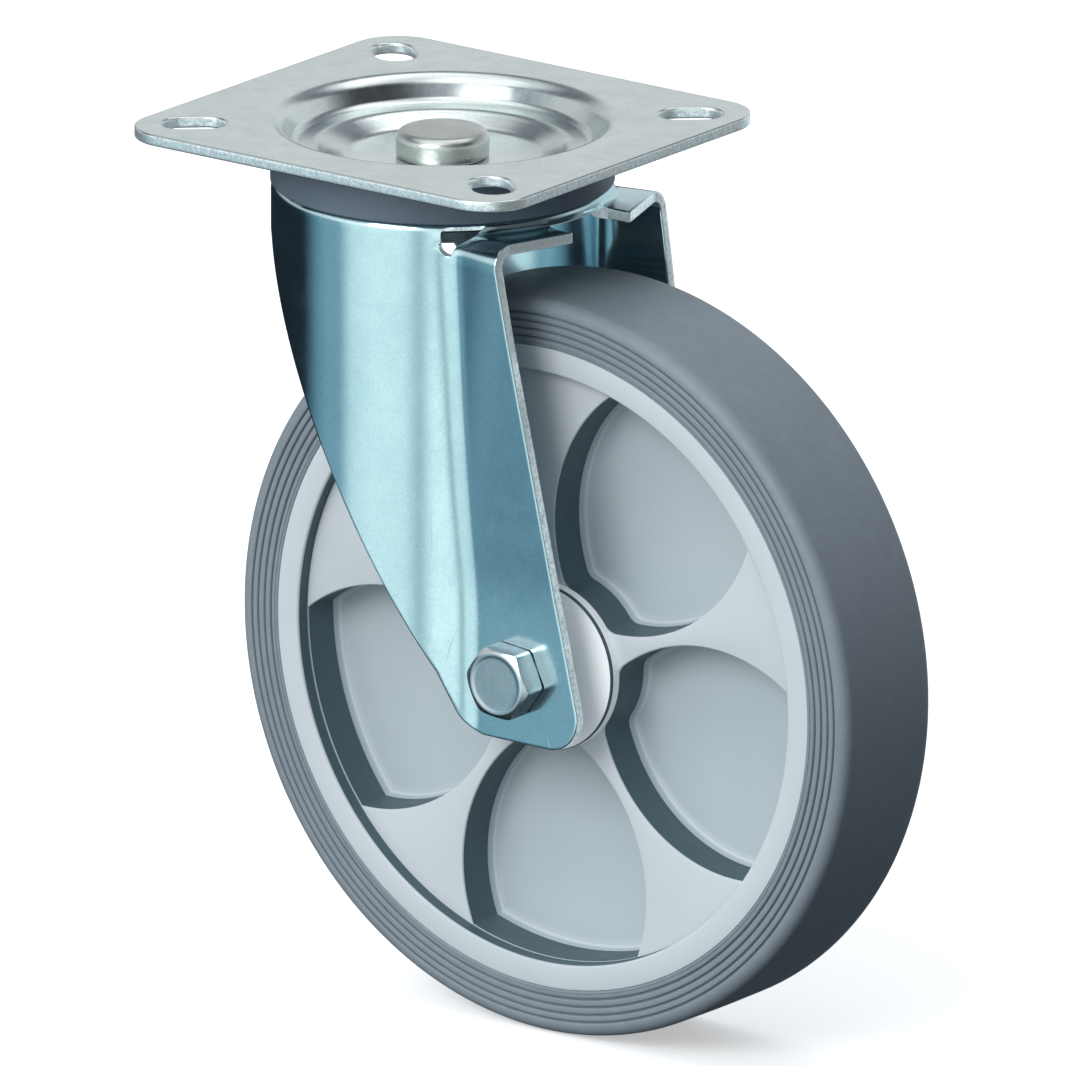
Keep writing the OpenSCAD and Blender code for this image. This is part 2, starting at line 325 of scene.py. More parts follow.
def mixc(nt, fac, a, b, blend="MIX"):
    n = node(nt, "ShaderNodeMix", data_type="RGBA", blend_type=blend)
    if isinstance(fac, float):
        n.inputs["Factor"].default_value = fac
    else:
        nt.links.new(fac, n.inputs["Factor"])
    nt.links.new(a, n.inputs[6]); nt.links.new(b, n.inputs[7])
    return n.outputs[2]


def bump(nt, height, strength, dist_mm, after=None):
    n = node(nt, "ShaderNodeBump")
    n.inputs["Strength"].default_value = strength
    n.inputs["Distance"].default_value = dist_mm / 1000
    nt.links.new(height, n.inputs["Height"])
    if after is not None:
        nt.links.new(after, n.inputs["Normal"])
    return n.outputs["Normal"]


def scratches(nt, vec, rot, scale, thin=0.006, seed=0.0):
    """Thin lines where a stretched noise crosses its middle."""
    v = stretch(nt, vec, scale, loc=(seed, seed * 0.7, seed * 1.3), rot=rot)
    f = noise(nt, v, 1.0, 1.0, 0.4)
    s = node(nt, "ShaderNodeMath", operation="SUBTRACT"); s.inputs[1].default_value = 0.5
    nt.links.new(f, s.inputs[0])
    a = node(nt, "ShaderNodeMath", operation="ABSOLUTE"); nt.links.new(s.outputs[0], a.inputs[0])
    return remap(nt, a.outputs[0], 0.0, thin, 1.0, 0.0)


def zinc(name, dark, light, r0, r1, grain=0.35, draw=(900, 900, 60), scr=0.5, seed=0.0):
    m, nt, bs, oc = new_mat(name)
    bs.inputs["Metallic"].default_value = 1.0
    cloud = noise(nt, stretch(nt, oc, (1, 1, 1), loc=(seed, 0, 0)), 55.0, 5.0, 0.6)
    fine = noise(nt, oc, 1400.0, 3.0, 0.6)
    col = ramp(nt, cloud, [(0.28, dark), (0.72, light)])
    fleck = ramp(nt, fine, [(0.30, (0.90, 0.915, 0.93)), (0.62, (1.0, 1.0, 1.0))])
    lines = scratches(nt, oc, (0.3, 0.5, 0.2), (35, 260, 35), 0.004, seed + 3)
    gate = remap(nt, noise(nt, oc, 30.0, 2.0), 0.55, 0.68, 0.0, 1.0)
    lines = mult(nt, lines, gate)
    col = mixc(nt, 1.0, col, fleck, "MULTIPLY")
    nt.links.new(col, bs.inputs["Base Color"])
    rr = remap(nt, noise(nt, oc, 160.0, 4.0, 0.65), 0.3, 0.7, r0, r1)
    nt.links.new(rr, bs.inputs["Roughness"])
    peel = noise(nt, oc, 420.0, 3.0, 0.5)
    drawn = noise(nt, stretch(nt, oc, draw), 1.0, 3.0, 0.6)
    nb = bump(nt, peel, grain, 0.05)
    nb = bump(nt, drawn, grain * 0.6, 0.03, nb)
    nb = bump(nt, lines, scr, 0.03, nb)
    nt.links.new(nb, bs.inputs["Normal"])
    return m


def cut_edge_painted_glow(name, dark, light, seed=0.0):
    """Sheared edge of a sheet: torn grain, with a bright colour and a slight glow that paint a highlight on the edge.
    """
    m, nt, bs, oc = new_mat(name)
    bs.inputs["Metallic"].default_value = 1.0
    g = noise(nt, stretch(nt, oc, (1, 1, 1), loc=(seed, 0, 0)), 950.0, 4.0, 0.7)
    col = ramp(nt, g, [(0.34, dark), (0.60, light)])
    nt.links.new(col, bs.inputs["Base Color"])
    nt.links.new(remap(nt, g, 0.3, 0.7, 0.42, 0.24), bs.inputs["Roughness"])
    n1 = bump(nt, noise(nt, oc, 520.0, 4.0, 0.7), 0.8, 0.16)
    nt.links.new(bump(nt, g, 0.6, 0.08, n1), bs.inputs["Normal"])
    # painted highlight: the edge glows a little, though it is no lamp
    bs.inputs["Emission Color"].default_value = (0.80, 0.93, 0.95, 1)
    bs.inputs["Emission Strength"].default_value = 0.20
    return m


def plastic(name, dark, light, r0, r1, grain_scale, grain_mm, coat=0.0, cloud_scale=30.0):
    m, nt, bs, oc = new_mat(name)
    c = noise(nt, oc, cloud_scale, 4.0, 0.55)
    col = ramp(nt, c, [(0.3, dark), (0.7, light)])
    nt.links.new(col, bs.inputs["Base Color"])
    nt.links.new(remap(nt, noise(nt, oc, 220.0, 3.0), 0.3, 0.7, r0, r1), bs.inputs["Roughness"])
    g = noise(nt, oc, grain_scale, 3.0, 0.6)
    nb = bump(nt, g, 0.5, grain_mm)
    nb = bump(nt, noise(nt, oc, 45.0, 2.0), 0.25, 0.05, nb)
    nt.links.new(nb, bs.inputs["Normal"])
    if coat:
        bs.inputs["Coat Weight"].default_value = coat
        bs.inputs["Coat Roughness"].default_value = 0.25
    return m


M_PLATE = zinc("zinc_plate", (0.68, 0.745, 0.73), (0.77, 0.825, 0.81), 0.17, 0.27, 0.16, (500, 500, 500), 0.5, 1.0)
M_FORK = zinc("zinc_fork", (0.53, 0.73, 0.78), (0.60, 0.79, 0.83), 0.12, 0.20, 0.09, (900, 900, 70), 0.6, 2.0)
M_BOLT = zinc("zinc_bolt", (0.56, 0.62, 0.64), (0.72, 0.77, 0.78), 0.20, 0.34, 0.35, (700, 700, 700), 0.4, 5.0)
M_PIN = zinc("rivet_steel", (0.50, 0.53, 0.50), (0.66, 0.69, 0.66), 0.26, 0.42, 0.5, (600, 600, 120), 0.7, 7.0)
# cut edges of plate and fork: bright and slightly glowing, a painted highlight
M_CUT = cut_edge_painted_glow("zinc_cut_plate_painted_glow", (0.36, 0.42, 0.44), (0.86, 0.92, 0.92), 1.0)
M_CUTF = cut_edge_painted_glow("zinc_cut_fork_painted_glow", (0.34, 0.44, 0.48), (0.96, 1.0, 1.0), 4.0)
M_RACE = zinc("race_steel", (0.44, 0.46, 0.47), (0.60, 0.62, 0.63), 0.22, 0.36, 0.25, (500, 500, 500), 0.3, 9.0)
M_CAGE = zinc("cage_steel", (0.40, 0.40, 0.37), (0.52, 0.52, 0.48), 0.30, 0.45, 0.3, (500, 500, 500), 0.2, 11.0)
M_BALL = zinc("ball_steel", (0.55, 0.56, 0.57), (0.62, 0.63, 0.64), 0.06, 0.12, 0.05, (500, 500, 500), 0.0, 13.0)
M_SEAL = plastic("seal_plastic", (0.115, 0.155, 0.20), (0.14, 0.185, 0.235), 0.38, 0.52, 900.0, 0.02)
M_INSERT = plastic("insert_plastic", (0.70, 0.72, 0.70), (0.80, 0.82, 0.80), 0.40, 0.50, 800.0, 0.02)
M_WHEEL = plastic("wheel_plastic", (0.585, 0.650, 0.685), (0.640, 0.700, 0.730), 0.40, 0.52, 650.0, 0.03, 0.0, 18.0)
# painted shade: a dark material for the pocket walls, the rim's inner wall and a line round the hub cap, where shade
# falls
M_PAINTED_SHADE = plastic("wheel_plastic_painted_shade", (0.060, 0.105, 0.128), (0.085, 0.138, 0.162), 0.42, 0.55, 650.0, 0.03, 0.0, 22.0)
# painted shade: the pocket feet and floors are darker than the face, as if shaded in the recess
M_POCKET_FLOOR_SHADE = plastic("wheel_plastic_pocket_floor_shade", (0.470, 0.550, 0.590), (0.510, 0.585, 0.620), 0.42, 0.55, 650.0, 0.03, 0.0, 18.0)
# painted light: the hub cap is lighter than the wheel body and glows a little, to brighten it where the fork leg shades
# it
M_CAP = plastic("hub_plastic_painted_glow", (0.90, 0.93, 0.94), (0.93, 0.955, 0.965), 0.42, 0.52, 700.0, 0.03, 0.0, 18.0)
cap_glow_bsdf = next(n for n in M_CAP.node_tree.nodes if n.type == "BSDF_PRINCIPLED")
# painted light: emission makes the cap glow, though it is no lamp
cap_glow_bsdf.inputs["Emission Color"].default_value = (0.90, 0.95, 0.97, 1)
cap_glow_bsdf.inputs["Emission Strength"].default_value = 0.14
M_SHIELD = plastic("shield_rubber", (0.025, 0.025, 0.028), (0.035, 0.035, 0.04), 0.5, 0.6, 700.0, 0.03)


def tyre_mat():
    m, nt, bs, oc = new_mat("tyre_rubber")
    c = noise(nt, oc, 26.0, 5.0, 0.6)
    col = ramp(nt, c, [(0.28, (0.215, 0.258, 0.295)), (0.72, (0.245, 0.290, 0.328))])
    dust = noise(nt, oc, 260.0, 5.0, 0.7)
    dcol = ramp(nt, dust, [(0.45, (1.0, 1.0, 1.0)), (0.75, (1.10, 1.10, 1.09))])
    col = mixc(nt, 1.0, col, dcol, "MULTIPLY")
    nt.links.new(col, bs.inputs["Base Color"])
    nt.links.new(remap(nt, noise(nt, oc, 120.0, 4.0, 0.65), 0.3, 0.7, 0.40, 0.56), bs.inputs["Roughness"])
    bs.inputs["Specular IOR Level"].default_value = 0.42
    nb = bump(nt, noise(nt, oc, 700.0, 4.0, 0.65), 0.5, 0.035)
    sc = mult(nt, scratches(nt, oc, (0.2, 0.1, 0.9), (40, 40, 300), 0.003, 2.0), remap(nt, noise(nt, oc, 22.0, 2.0), 0.60, 0.68, 0.0, 1.0))
    nb = bump(nt, sc, 0.5, 0.05, nb)
    nt.links.new(nb, bs.inputs["Normal"])
    return m


M_TYRE = tyre_mat()

# ------------------------------------------------------------------ top plate
def plate():
    b = Build()
    L, W, R = 63.0, 59.0, 13.0
    o = []
    for cx, cy, a in ((L - R, W - R, 0), (-L + R, W - R, 90), (-L + R, -W + R, 180), (L - R, -W + R, 270)):
        o += arc(cx, cy, R, a, a + 90, 22)
    o = np.array(o)
    pts = []
    for i in range(len(o)):
        q = resample([o[i], o[(i + 1) % len(o)]], 1.6)
        pts += list(q[:-1])
    loops = [(np.array(pts), np.ones(len(pts)), np.ones(len(pts), bool))]
    n = 288
    t = -np.arange(n) * 2 * PI / n
    loops.append((np.stack([47 * np.cos(t), 47 * np.sin(t)], 1), np.zeros(n), np.zeros(n, bool)))
    for sx, sy in ((1, 1), (-1, 1), (-1, -1), (1, -1)):
        a = math.degrees(math.atan2(sy * 86, sx * 98))
        ca, sa = math.cos(math.radians(a)), math.sin(math.radians(a))
        loc = arc(3, 0, 5.5, 90, -90, 22) + arc(-3, 0, 5.5, -90, -270, 22)
        loc = [loc[0]] + [p for k, p in enumerate(loc[1:]) if True]
        full = []
        for i in range(len(loc)):
            q = resample([loc[i], loc[(i + 1) % len(loc)]], 0.8)
            full += list(q[:-1])
        full = np.array(full)
        w = np.stack([sx * 49 + full[:, 0] * ca - full[:, 1] * sa, sy * 43 + full[:, 0] * sa + full[:, 1] * ca], 1)
        loops.append((w, np.ones(len(w)), np.ones(len(w), bool)))

    def F(x, y, d):
        return np.stack([x, y, -d], 1)
    sheet(b, loops, F, 3.0, 0.55, 3.0, 1, 3, 0.03)

    def dish(off, m=10):
        return (arc(46, -5, 5 - off, 90, 150, m) + arc(37.6, -3.9, 3 + off, -30, -85, m)
                + arc(34.5, -11.9, 5 - off, 88, 125, m) + arc(24.5, -5, 5 + off, -55, -90, m))
    top = [(47.0, 0.0)] + dish(0) + [(20, -10.0), (16, -10.0), (12.5, -10.0), (8.0, -10.0)]
    under = [(47.0, -3.0)] + dish(3) + [(16, -13.0), (8.0, -13.0)]
    fine = []
    for i in range(len(under) - 1):
        q = resample([under[i], under[i + 1]], 0.5)
        fine += [tuple(x) for x in q[:-1]]
    fine.append(under[-1])
    groove = []
    for r, z in fine:
        g = 3.2 ** 2 - (r - 34) ** 2
        groove.append((r, max(z, -13.3 + math.sqrt(g)) if g > 0 and z > -13.3 else z))
    lathe(b, top + groove[::-1], n, ring_z, closed=False)
    return b.object("plate_sheet", "plate_body", [M_PLATE, M_CUT], ["top_plate"])


plate()

# ------------------------------------------------------------------ kingpin
def kingpin():
    b = Build()
    p = [(0, -2.8), (5, -2.8), (9.6, -2.86)] + [(r, z) for r, z in arc(9.9, -5.3, 2.4, 84, 0, 12)]
    p += [(12.28, -6.0), (12.3, -8.0), (12.25, -9.3), (12.0, -9.75), (11.6, -10.0), (8.0, -10.0), (8.0, -16.2), (11.5, -16.2), (11.2, -17.6), (10.5, -19.5), (8, -20.8), (0, -21.2)]
    lathe(b, p, 160, ring_z, closed=False)
    return b.object("kingpin_rivet", "plate_body", [M_PIN], ["kingpin"])


kingpin()

# ------------------------------------------------------------------ dust seal
def seal():
    b = Build()
    p = [(44.75, -4.5)] + arc(44.9, -4.8, 0.3, 90, 0, 4) + [(45.2, -8.0), (45.2, -15.6)] + arc(44.9, -15.9, 0.3, 0, -90, 4)
    p += [(44.35, -16.2), (43.2, -15.5), (41.9, -15.5), (41.9, -11.5), (43.4, -10.5), (43.4, -7.5), (44.3, -5.2)]
    lathe(b, p, 240, ring_z)
    return b.object("seal_ring", "fork_body", [M_SEAL], ["dust_seal"])


seal()

# ------------------------------------------------------------------ fork
SPLAY = math.radians(11.2)
SB, CB = math.sin(SPLAY), math.cos(SPLAY)
ZB, RB = -25.3, 6.0             # foot and radius of the bend into the shelf
NT = 37.5 * CB - 45.6 * SB      # the splayed leg's distance from the middle at the bend
N0 = NT - RB
TB = ZB + RB * PI / 2
ZW = -21.5                      # where wall and crown join
TIP = 26.9                      # crown side of the corner opening


def soft_ramp(u, w=0.09):
    return np.where(u < -w, 0, np.where(u < w, (u + w) ** 2 / (4 * w), u))


def leg_y(x, z, k=1.5):
    u = soft_ramp((z + 116) / (ZB + 116))
    a = (25 + (NT - 25) * u + x * SB) / CB
    c = 31.5 + 6.5 * (ZB + 116) / 98 * u
    d = np.abs(a - c)
    return np.minimum(a, c) - np.where(d < k, (k - d) ** 2 / (4 * k), 0)


def wall_y(x, z, k=4.0):
    a = np.sqrt(np.maximum(2025.0 - x * x, 0))
    h = leg_y(x, z)
    d = np.abs(a - h)
    m = np.maximum(a, h) + np.where(d < k, (k - d) ** 2 / (4 * k), 0)
    return np.where(x > 5, m, a)


def fork_outer(q, t):
    al = np.clip(q / 45.0 + PI / 2, -0.2, PI / 2)
    x = np.where(q < 0, -45 * np.cos(al), q)
    yu = np.where(q < 0, 45 * np.sin(al), wall_y(x, np.minimum(t, ZB)))
    ph = np.clip((t - ZB) / RB, 0, PI / 2)
    n = N0 + RB * np.cos(ph) - np.maximum(t - TB, 0)
    extra = wall_y(x, np.full(len(x), ZB)) - (NT + x * SB) / CB
    yb = (n + x * SB) / CB + extra * np.cos(ph)
    zb = ZB + RB * np.sin(ph)
    w = np.clip((q - TIP) / (30.5 - TIP), 0, 1)
    w = np.where(t > ZB, w * w * (3 - 2 * w), 0)
    return np.stack([x, yu * (1 - w) + yb * w, t * (1 - w) + zb * w], 1)


def fork_F(q, t, depth):
    q, t = np.asarray(q, float), np.asarray(t, float)
    e = 0.03
    P = fork_outer(q, t)
    du = fork_outer(q + e, t) - fork_outer(q - e, t)
    dv = fork_outer(q, t + e) - fork_outer(q, t - e)
    n = -np.cross(du, dv)
    n /= np.maximum(np.linalg.norm(n, axis=1), 1e-12)[:, None]
    onaxis = np.abs(q + 70.6858) < 1e-3
    n[onaxis] = (-1, 0, 0)
    return P - n * np.asarray(depth, float)[:, None]


def to_q(p):
    p = np.asarray(p, float)
    x = p[:, 0]
    al = np.arccos(np.clip(-x / 45.0, -1, 1))
    return np.stack([np.where(x < 0, 45 * (al - PI / 2), x), p[:, 1]], 1)


def shelf_t(x, y):
    n = y * CB - x * SB
    return TB + N0 - n if n <= N0 else ZB + RB * math.acos(min(1.0, (n - N0) / RB))


def bend_t(z):
    return z if z <= ZB else ZB + RB * math.asin(min(1.0, (z - ZB) / RB))


def soften(p, rounds=2):
    """Corner cutting; both ends stay."""
    p = np.asarray(p, float)
    for _ in range(rounds):
        a, c = p[:-1], p[1:]
        mid = np.stack([a * 0.75 + c * 0.25, a * 0.25 + c * 0.75], 1).reshape(-1, 2)
        p = np.concatenate([p[:1], mid[1:-1], p[-1:]])
    return p


def polyline(segs, step, dense=0.1):
    chain = []
    for s in segs:
        s = np.asarray(s, float)
        d = []
        for i in range(len(s) - 1):
            k = max(2, int(np.linalg.norm(s[i + 1] - s[i]) / dense))
            d += [s[i] + (s[i + 1] - s[i]) * j / k for j in range(k)]
        d.append(s[-1])
        q = resample(to_q(np.array(d)), step)
        chain += list(q if not chain else q[1:])
    return np.array(chain)


def fork():
    b = Build()
    b0 = math.asin(12 / 46.85)
    b1 = math.radians(43.25)
    beta = np.linspace(b0, b1, 22)

    def step(v):
        v = min(1.0, max(0.0, v))
        return v * v * (3 - 2 * v)
    rw = [46.85 - 0.95 * step((math.degrees(v) - 36) / 7.25) for v in beta]
    arc_c = np.array([(r * math.cos(v), shelf_t(r * math.cos(v), r * math.sin(v))) for r, v in zip(rw, beta)])
    # side outline in x, z, then over the bend in x, t
    segs = [
        [(-45, -30), (-35.5, -30)], arc(-35.5, -33, 3, 90, 28.6, 8), [(-35.5 + 3 * math.cos(math.radians(28.6)), -33 + 3 * math.sin(math.radians(28.6))), (26, -138)],
        [(26, -138)] + arc(38.6, -145.2, 9.2, 200, 266, 12),
        [(38.6 + 9.2 * math.cos(math.radians(266)), -145.2 + 9.2 * math.sin(math.radians(266)))] + arc(58.9, -145.2, 9.3, 272, 374, 24),
        [(58.9 + 9.3 * math.cos(math.radians(14)), -145.2 + 9.3 * math.sin(math.radians(14))), (61, -113.5)], [(61, -113.5), (48, -38.6)],
        [(48, -38.6), (45.6, -25.2)]]
    sh = [(45.6, 37.4), (45.6, 36), (46, 31), (52.3, 12.6), (52.33, 12.3), (52.15, 12.06), (51.9, 12.0), (46.85 * math.cos(b0), 12.0)]
    flat = [(45.6, -25.2)]
    for (x0, y0), (x1, y1) in zip(sh[:-1], sh[1:]):
        k = max(2, int(math.hypot(x1 - x0, y1 - y0) / 0.3))
        for j in range(k):
            x, y = x0 + (x1 - x0) * j / k, y0 + (y1 - y0) * j / k
            flat.append((x, shelf_t(x, y)))
        if (x1, y1) in ((46, 31), (52.3, 12.6), (51.9, 12.0)):
            segs.append(flat + [(x1, shelf_t(x1, y1))])
            flat = []
    segs.append([(51.9, shelf_t(51.9, 12.0))] + flat[1:] + [tuple(arc_c[0])])
    one = polyline(segs, 1.1)
    one[0] = (-70.6858, -30.0)
    one[-1] = arc_c[0]
    two = soften([(x, bend_t(z)) for x, z in [(30.3, -21.9), (29.6, -24.2), (29, -24.6), (28.2, -24.4), (27.2, -23.4), (26.9, -22.4), (26.9, ZW)]])
    two = polyline([[tuple(arc_c[-1])] + [tuple(v) for v in two]], 0.7)
    two[-1] = (TIP, ZW)
    keep = np.r_[True, np.linalg.norm(np.diff(one, axis=0), axis=1) > 0.08]
    one = one[keep]
    weld = resample([(TIP, ZW), (0.0, ZW)], 1.1)
    weld = np.concatenate([weld, resample([(0.0, ZW), (-70.6858, ZW)], 1.1)[1:]])
    sym = resample([(-70.6858, ZW), (-70.6858, -30.0)], 1.1)
    parts = [(one, True), (arc_c[1:], False), (two[1:], True), (weld[1:], False), (sym[1:-1], False)]
    pts = np.concatenate([p for p, _ in parts])
    run = lambda p: np.r_[0, np.cumsum(np.linalg.norm(np.diff(p, axis=0), axis=1))]
    d1, d2 = run(one), run(two)
    tau = np.zeros(len(pts))
    tau[:len(one)] = np.clip((d1[-1] - d1) / 1.5, 0, 1)
    i2 = len(one) + len(arc_c) - 1
    tau[i2:i2 + len(two) - 1] = np.clip(np.minimum(d2, d2[-1] - d2)[1:] / 1.2, 0, 1)
    free = np.zeros(len(pts), bool)
    free[:len(one) - 1] = True
    free[i2 - 1:i2 + len(two) - 2] = True
    hole = np.array([(47 + 6.1 * math.cos(a), -137 + 6.1 * math.sin(a)) for a in -np.arange(48) * 2 * PI / 48])
    # the first point lies on the line of symmetry, where inward is straight up
    sheet(b, [(pts, tau, free), (hole, np.full(48, 0.5), np.ones(48, bool))], fork_F, 3.0, 0.40, 1.5, 1, 3, 0.05, {0: (0, 1)})

    # crown, in columns from the front to the back
    rt = [20, 24, 28, 31.68, 32.1, 32.8, 33.4, 34, 34.6, 35.2, 35.9, 36.32, 38, 40, 42]
    ri = [40.5, 38, 34, 30, 27.32, 26.9, 26.2, 25.6, 25, 24.4, 23.8, 23.1, 22.68, 21.5, 20]
    zt = [-15.5 if abs(r - 34) >= 2.32 else min(-15.5, -13.3 - math.sqrt(3.2 ** 2 - (r - 34) ** 2)) for r in rt]
    zi = [-18.5 if abs(r - 25) >= 2.32 else max(-18.5, -20.7 + math.sqrt(3.2 ** 2 - (r - 25) ** 2)) for r in ri]

    def P(r, a, z):
        return (-r * math.cos(a), r * math.sin(a), z)

    def corner(g):
        return 42 + 3 * math.sin(math.radians(g)), -18.5 + 3 * math.cos(math.radians(g))

    def inner(g):
        return 40.5 + 1.5 * math.cos(math.radians(g)), -20 + 1.5 * math.sin(math.radians(g))

    def top(a, gs=()):
        return [P(r, a, z) for r, z in zip(rt, zt)] + [P(r, a, z) for r, z in map(corner, (15, 30, 45, 60) + tuple(gs))]

    def under(a):
        return [P(r, a, z) for r, z in map(inner, (48.19, 62, 76))] + [P(r, a, z) for r, z in zip(ri, zi)]

    def strip(cols, open_edge):
        T = [b.add([c[0][i] for c in cols]) for i in range(len(cols[0][0]))]
        I = [b.add([c[2][i] for c in cols]) for i in range(len(cols[0][2]))]
        for rows in (T, I):
            for i in range(len(rows) - 1):
                b.quads(rows[i], rows[i + 1], False, 0)
        b.quads(I[-1], T[0], False, 0)
        if open_edge:
            seq = [T[-1]] + [b.add([c[1][i] for c in cols]) for i in range(len(cols[0][1]))] + [I[0]]
            for i in range(len(seq) - 1):
                b.quads(seq[i], seq[i + 1], False, 1)

    def cap(o, i, mat=1):
        o, i = b.add(o), b.add(i)
        for k in range(len(o) - 1):
            b.face((o[k], i[k], i[k + 1], o[k + 1]), mat)

    # front and sides: down to the sheet
    wq = weld[::-1]
    po, pi_ = fork_F(wq[:, 0], wq[:, 1], np.zeros(len(wq))), fork_F(wq[:, 0], wq[:, 1], np.full(len(wq), 3.0))
    cols = []
    for k, (q, _) in enumerate(wq):
        a = q / 45 + PI / 2 if q < 0 else PI / 2 + math.asin(q / 45)
        c, s = -math.cos(a), math.sin(a)
        dyo, dyi, dxi = po[k][1] - 45 * s, pi_[k][1] - 42 * s, pi_[k][0] - 42 * c
        wall = [(45 * c, 45 * s + dyo * step((-18.5 - z) / 3), z) for z in (-19.25, -20.0, -20.75)] + [tuple(po[k])]
        low = [tuple(pi_[k]), (42 * c + dxi * 0.4, 42 * s + dyi * 0.4, -20.75), P(42, a, -20), P(*[inner(24)[0], a, inner(24)[1]])]
        cols.append((top(a, (75, 90)) + wall, [], low + under(a)))
    strip(cols, False)
    tip = cols[-1]
    a_tip, a_cut = PI / 2 + math.asin(TIP / 45), PI - math.radians(37.9)
    # over the corner opening
    cols = []
    for a in np.linspace(a_tip, a_cut, 15):
        x = -45 * math.cos(a)
        f = min(1.0, max(0.0, (x - TIP) / 1.9))
        z = -18.5 + 1.5 * math.sqrt(1 - (1 - f) ** 2)
        g = math.degrees(math.acos((z + 18.5) / 3))
        r = corner(g)[0]
        cols.append((top(a, ((60 + g) / 2, g)), [P(r - 0.2, a, z - 0.01), P(r - 1.2, a, z), P(42.4, a, z), P(41.62, a, z), P(41.5, a, z - 0.12)], under(a)))
    strip(cols, True)
    cap([cols[0][0][-1]] + tip[0][-4:], [tip[2][4], tip[2][3], tip[2][2], tip[2][1], tip[2][0]])
    b.face(b.add([cols[0][0][-1]] + cols[0][1] + [cols[0][2][0]]), 1)
    b.face(b.add([cols[-1][0][-1]] + cols[-1][1] + [cols[-1][2][0]]), 1)
    # neck into the shelf
    fo = fork_F(arc_c[:, 0], arc_c[:, 1], np.zeros(len(arc_c)))
    fi = fork_F(arc_c[:, 0], arc_c[:, 1], np.full(len(arc_c), 3.0))
    prof = [corner(68), corner(76.1)] + [(46.85 + 2 * math.cos(math.radians(v)), -17.30 + 2 * math.sin(math.radians(v))) for v in (205, 218, 231, 244, 257, 270)]
    prof_i = [inner(24), (42, -20), (42, -20.8), (42.44, -21.86), (43.5, -22.3)]
    cols = []
    for k, v in enumerate(beta):
        al = v - math.radians(5.35) * step((math.degrees(v) - 28) / 15.25)
        end = np.array(P(46.85, PI - v, -19.3))
        tail = []
        for j, (r, z) in enumerate(prof, 1):
            w = PI - (al + (v - al) * j / 8)
            tail.append(tuple(np.array(P(r, w, z)) + (fo[k] - end) * (j / 8) ** 2))
        low = [tuple(np.array(P(r, PI - (al + (v - al) * j / 8), z))) for j, (r, z) in enumerate(prof_i, 1)]
        last = np.array(low[-1])
        low += [tuple(last + (fi[k] - last) * f) for f in (1 / 3, 2 / 3, 1.0)]
        cols.append((top(PI - al) + tail, [], low[::-1] + under(PI - al)))
    strip(cols, False)
    end = cols[-1]
    cap(end[0][-9:], end[2][:9][::-1])
    first = cols[0]
    # middle of the neck: free edge
    cols = []
    for v in np.linspace(b0, 0, 14):
        a = PI - v
        cols.append((top(a, (68, 76.1, 90)) + [P(45, a, -19.25)], [P(44.9, a, -19.5), P(44.65, a, -19.6), P(43.5, a, -19.6), P(42.4, a, -19.6)],
                     [P(inner(15.47)[0], a, -19.6), P(inner(24)[0], a, inner(24)[1])] + under(a)))
    strip(cols, True)
    m = cols[0]
    b.face(b.add(first[0][-7:] + first[2][:8] + [m[2][0]] + m[1][::-1] + m[0][-1:-3:-1]), 1)
    b.mirror_y()
    return b.object("fork_sheet", "fork_body", [M_FORK, M_CUTF], ["fork"], 40.0, 8e-6)


fork()

# ------------------------------------------------------------------ hex bolt and nut
def hex_rings(b, af, rot, rows, n=20):
    """rows are (limit radius or None for the full hexagon, y offset, shrink). Returns rings of a hexagon with small round corners."""
    ang = []
    for k in range(6):
        for i in range(n):
            ang.append(rot + k * 60 + 60 * i / n)
    ang = np.radians(ang)
    rr = []
    for a in ang:
        m = (math.degrees(a) - rot) % 60
        d = min(m, 60 - m)
        full = af / 2 / math.cos(math.radians(30 - d))
        rr.append(min(full, af / 2 / math.cos(math.radians(30)) - 0.28))
    rr = np.array(rr)
    out = []
    for lim, y, shrink in rows:
        r = rr - shrink
        if lim is not None:
            r = np.minimum(r, lim)
        if callable(y):
            yy = np.array([y(q) for q in r])
        else:
            yy = np.full(len(r), y)
        out.append(b.add(np.stack([AX + r * np.cos(ang), yy, AZ + r * np.sin(ang)], 1)))
    return out


